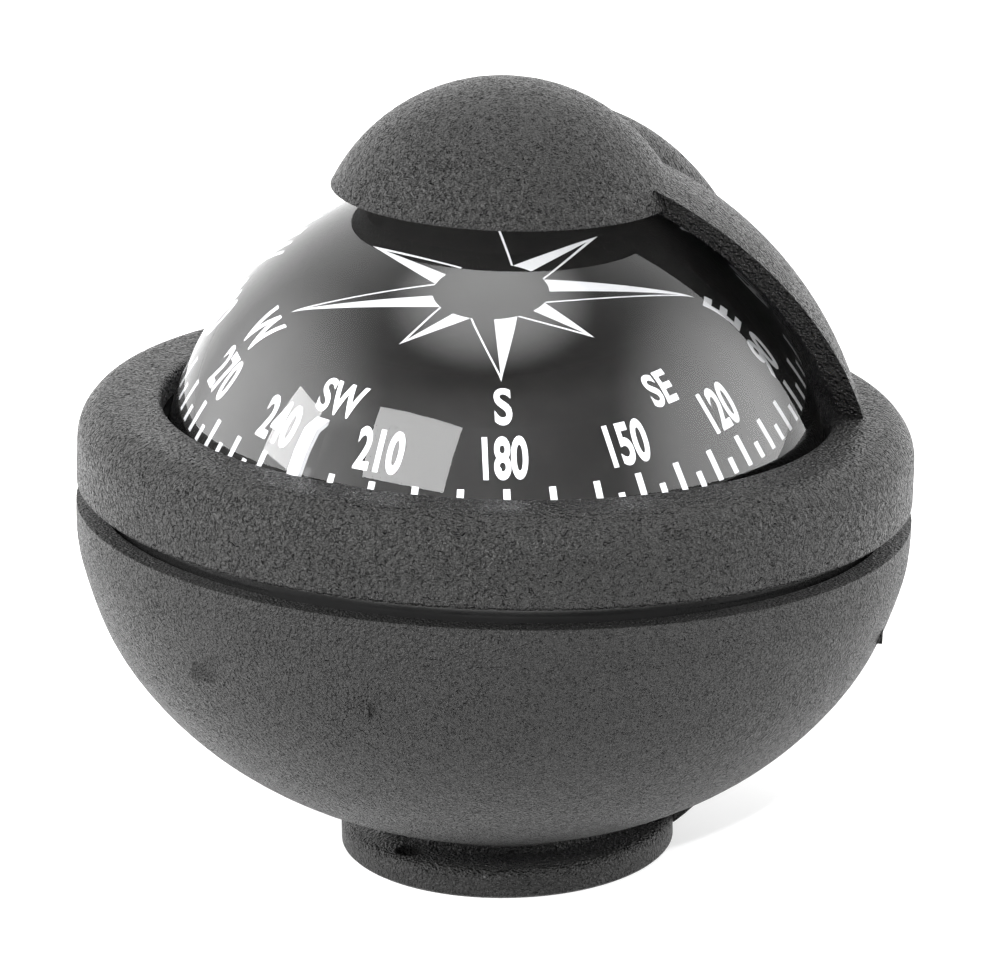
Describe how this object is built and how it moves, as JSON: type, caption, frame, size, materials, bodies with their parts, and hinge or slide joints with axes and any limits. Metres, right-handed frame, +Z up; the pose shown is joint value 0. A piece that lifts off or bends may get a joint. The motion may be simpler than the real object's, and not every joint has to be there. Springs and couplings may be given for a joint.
{
  "type": "binnacle compass",
  "caption": "Dome-type boat compass: gimballed card under a clear liquid-filled dome, hooded bezel with rear fairing, rounded bowl pitching on a small round foot.",
  "frame": {"origin": "centre of the foot's underside, on the surface the compass stands on", "axes": "+Z up, -Y towards the front, where the lubber line is, +Y towards the hood's rear fairing, +X to the right when looking along +Y"},
  "size_m": [0.1, 0.1003, 0.0953],
  "materials": {
    "textured_black": "fine leather-grain moulded black plastic",
    "gloss_black": "smooth glossy black plastic",
    "clear_acrylic": "polished clear acrylic with clear damping liquid behind it",
    "card_black": "satin black card with white markings",
    "white_plastic": "matte white",
    "lamp_red": "translucent red",
    "rubber": "matte black rubber",
    "brass": "turned brass",
    "steel": "stainless steel",
    "magnet": "nickel-plated magnet"
  },
  "bodies": {
    "foot": {"foot_base": "textured_black", "seat_liner": "rubber", "clamp_bolt": "steel", "clamp_shoe": "steel", "clamp_washer": "steel", "clamp_nut": "steel"},
    "housing": {"outer_bowl": "textured_black", "cable_grommet": "rubber", "neck_ring": "gloss_black", "hooded_bezel": "textured_black", "dome_window": "clear_acrylic", "clamp_ring": "gloss_black", "capsule_screws": "steel", "dome_gasket": "rubber", "capsule_bowl": "gloss_black", "diaphragm": "rubber", "diaphragm_cap": "gloss_black", "fill_plug": "brass", "fill_plug_seal": "rubber", "lubber_bracket": "gloss_black", "lubber_line": "white_plastic", "gimbal_outer_pins": "steel", "compensator_block": "gloss_black", "compensator_screws": "steel", "lamp_housing": "gloss_black", "lamp_lens": "lamp_red", "lamp_led": "lamp_red"},
    "rod_ew": {"compensator_rod_ew": "brass", "compensator_magnet_ew": "magnet", "compensator_clip_ew": "steel"},
    "rod_ns": {"compensator_rod_ns": "brass", "compensator_magnet_ns": "magnet", "compensator_clip_ns": "steel"},
    "gimbal": {"gimbal_ring": "gloss_black", "gimbal_inner_pins": "steel"},
    "carrier": {"pivot_carrier": "gloss_black", "counterweight": "brass", "pivot_needle": "steel"},
    "card": {"compass_card": "card_black", "card_float": "white_plastic", "card_magnets": "magnet", "jewel_cup": "brass"}
  },
  "joints": [
    {"name": "housing_tilt", "type": "hinge", "parent": "foot", "child": "housing", "pos_m": [0, 0, 0.06458], "axis": [1, 0, 0], "range_deg": [-6.1, 13.9]},
    {"name": "gimbal_pitch", "type": "hinge", "parent": "housing", "child": "gimbal", "pos_m": [0, -0.00144, 0.04345], "axis": [1, 0, 0], "range_deg": [-20, 20]},
    {"name": "gimbal_roll", "type": "hinge", "parent": "gimbal", "child": "carrier", "pos_m": [0, -0.00144, 0.04345], "axis": [0, 1, 0], "range_deg": [-20, 20]},
    {"name": "card_spin", "type": "hinge", "parent": "carrier", "child": "card", "pos_m": [0, -0.00144, 0.04345], "axis": [0, 0, 1], "continuous": true},
    {"name": "rod_ew_turn", "type": "hinge", "parent": "housing", "child": "rod_ew", "pos_m": [0, -0.00323, 0.01721], "axis": [1, 0, 0], "continuous": true},
    {"name": "rod_ns_turn", "type": "hinge", "parent": "housing", "child": "rod_ns", "pos_m": [0, -0.00299, 0.0207], "axis": [0, 0.9977, -0.068], "continuous": true}
  ]
}
